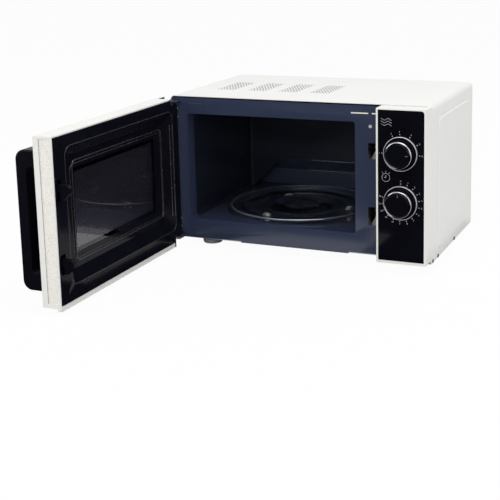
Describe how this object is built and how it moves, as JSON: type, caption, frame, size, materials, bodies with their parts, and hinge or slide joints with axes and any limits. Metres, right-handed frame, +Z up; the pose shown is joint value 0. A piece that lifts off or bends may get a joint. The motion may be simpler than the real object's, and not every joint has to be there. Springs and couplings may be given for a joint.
{
  "type": "microwave oven",
  "caption": "Countertop microwave oven with a side-hinged glazed door standing open, a round glass turntable and rotary knobs on a right-hand control panel.",
  "frame": {"origin": "middle of the four feet, on the plane that they stand on", "axes": "+X to the right seen from the front, -Y towards the user, +Z up"},
  "size_m": [0.4865, 0.663, 0.255],
  "materials": {
    "white_paint": "satin",
    "white_plastic": "satin",
    "enamel": "gloss",
    "zinc_sheet": "satin",
    "black_gloss": "gloss",
    "dark_glass": "gloss",
    "clear_glass": "gloss",
    "chrome_trim": "gloss",
    "steel": "satin",
    "rubber_feet": "matte",
    "grey_plastic": "matte",
    "pale_plastic": "matte",
    "mica": "matte",
    "copper": "satin",
    "aluminium": "satin",
    "board": "matte",
    "ceramic": "gloss",
    "motor_steel": "satin"
  },
  "bodies": {
    "cabinet": {"base_pan": "zinc_sheet", "capacitor": "aluminium", "cavity_floor": "enamel", "cavity_shell": "enamel", "control_panel_fascia": "black_gloss", "control_panel_frame": "white_plastic", "cord_gland": "grey_plastic", "fan_motor": "motor_steel", "fan_shroud": "grey_plastic", "feet": "rubber_feet", "filter_board": "board", "foot_screws": "steel", "front_plate": "enamel", "high_voltage_diode": "ceramic", "hinge_brackets": "zinc_sheet", "latch_bracket": "pale_plastic", "magnetron_anode": "aluminium", "magnetron_yoke": "zinc_sheet", "microswitches": "grey_plastic", "outer_cover": "white_paint", "oven_lamp": "ceramic", "panel_screws": "steel", "plate_rivets": "steel", "power_selector_casing": "grey_plastic", "rear_panel": "zinc_sheet", "thermal_cutout": "grey_plastic", "timer_casing": "grey_plastic", "transformer_core": "steel", "transformer_windings": "copper", "turntable_motor": "steel", "wall_spacers": "grey_plastic", "waveguide": "zinc_sheet", "waveguide_cover": "mica"},
    "power_knob": {"power_knob": "black_gloss", "power_knob_ring": "chrome_trim", "power_knob_trim": "chrome_trim", "power_shaft": "pale_plastic"},
    "timer_knob": {"timer_knob": "black_gloss", "timer_knob_ring": "chrome_trim", "timer_knob_trim": "chrome_trim", "timer_shaft": "pale_plastic"},
    "coupler": {"turntable_coupler": "pale_plastic"},
    "tray": {"glass_tray": "clear_glass"},
    "ring": {"roller_ring": "pale_plastic"},
    "wheel_1": {"roller_wheel_1": "pale_plastic"},
    "wheel_2": {"roller_wheel_2": "pale_plastic"},
    "wheel_3": {"roller_wheel_3": "pale_plastic"},
    "fan": {"fan_blade": "grey_plastic"},
    "door": {"door_outer_frame": "white_plastic", "door_bushes": "pale_plastic", "door_glass": "dark_glass", "door_inner_cover": "black_gloss", "door_window_film": "dark_glass", "door_panel": "zinc_sheet", "door_screen": "zinc_sheet", "door_handle": "black_gloss", "handle_screws": "steel", "latch_spring": "steel"},
    "latch": {"latch_hooks": "black_gloss"},
    "buttons": {"switch_buttons": "pale_plastic"}
  },
  "joints": [
    {"name": "door_hinge", "type": "hinge", "parent": "cabinet", "child": "door", "pos_m": [-0.215, -0.151, 0.1335], "axis": [0, 0, 1], "range_deg": [-15, 90]},
    {"name": "latch_lift", "type": "slide", "parent": "door", "child": "latch", "axis": [0, 0, 1], "range_m": [0, 0.004], "stiffness_N_per_m": 150, "springref_m": -0.01, "deforming": ["latch_spring"]},
    {"name": "power_turn", "type": "hinge", "parent": "cabinet", "child": "power_knob", "pos_m": [0.18125, -0.167, 0.187], "axis": [0, 1, 0], "range_deg": [-180, 0]},
    {"name": "timer_turn", "type": "hinge", "parent": "cabinet", "child": "timer_knob", "pos_m": [0.18125, -0.167, 0.112], "axis": [0, 1, 0], "range_deg": [0, 285]},
    {"name": "coupler_spin", "type": "hinge", "parent": "cabinet", "child": "coupler", "pos_m": [-0.04575, 0.002, 0.04], "axis": [0, 0, 1], "continuous": true},
    {"name": "tray_lift", "type": "slide", "parent": "coupler", "child": "tray", "axis": [0, 0, 1], "range_m": [0, 0.03]},
    {"name": "ring_spin", "type": "hinge", "parent": "cabinet", "child": "ring", "pos_m": [-0.04575, 0.002, 0.043], "axis": [0, 0, 1], "continuous": true},
    {"name": "wheel_1_spin", "type": "hinge", "parent": "ring", "child": "wheel_1", "pos_m": [0.03862, 0.01236, 0.043], "axis": [0.9925, 0.1219, 0], "continuous": true},
    {"name": "wheel_2_spin", "type": "hinge", "parent": "ring", "child": "wheel_2", "pos_m": [-0.0969, 0.06988, 0.043], "axis": [-0.6018, 0.7986, 0], "continuous": true},
    {"name": "wheel_3_spin", "type": "hinge", "parent": "ring", "child": "wheel_3", "pos_m": [-0.07896, -0.07624, 0.043], "axis": [-0.3907, -0.9205, 0], "continuous": true},
    {"name": "fan_spin", "type": "hinge", "parent": "cabinet", "child": "fan", "pos_m": [0.1589, 0.116, 0.178], "axis": [0, 1, 0], "continuous": true},
    {"name": "switch_press", "type": "slide", "parent": "cabinet", "child": "buttons", "axis": [0, 1, 0], "range_m": [0, 0.0015], "stiffness_N_per_m": 300, "springref_m": -0.002}
  ],
  "couplings": [
    {"joint": "ring_spin", "follows": "coupler_spin", "ratio": 0.5},
    {"joint": "wheel_1_spin", "follows": "coupler_spin", "ratio": -6.5385},
    {"joint": "wheel_2_spin", "follows": "coupler_spin", "ratio": -6.5385},
    {"joint": "wheel_3_spin", "follows": "coupler_spin", "ratio": -6.5385}
  ]
}
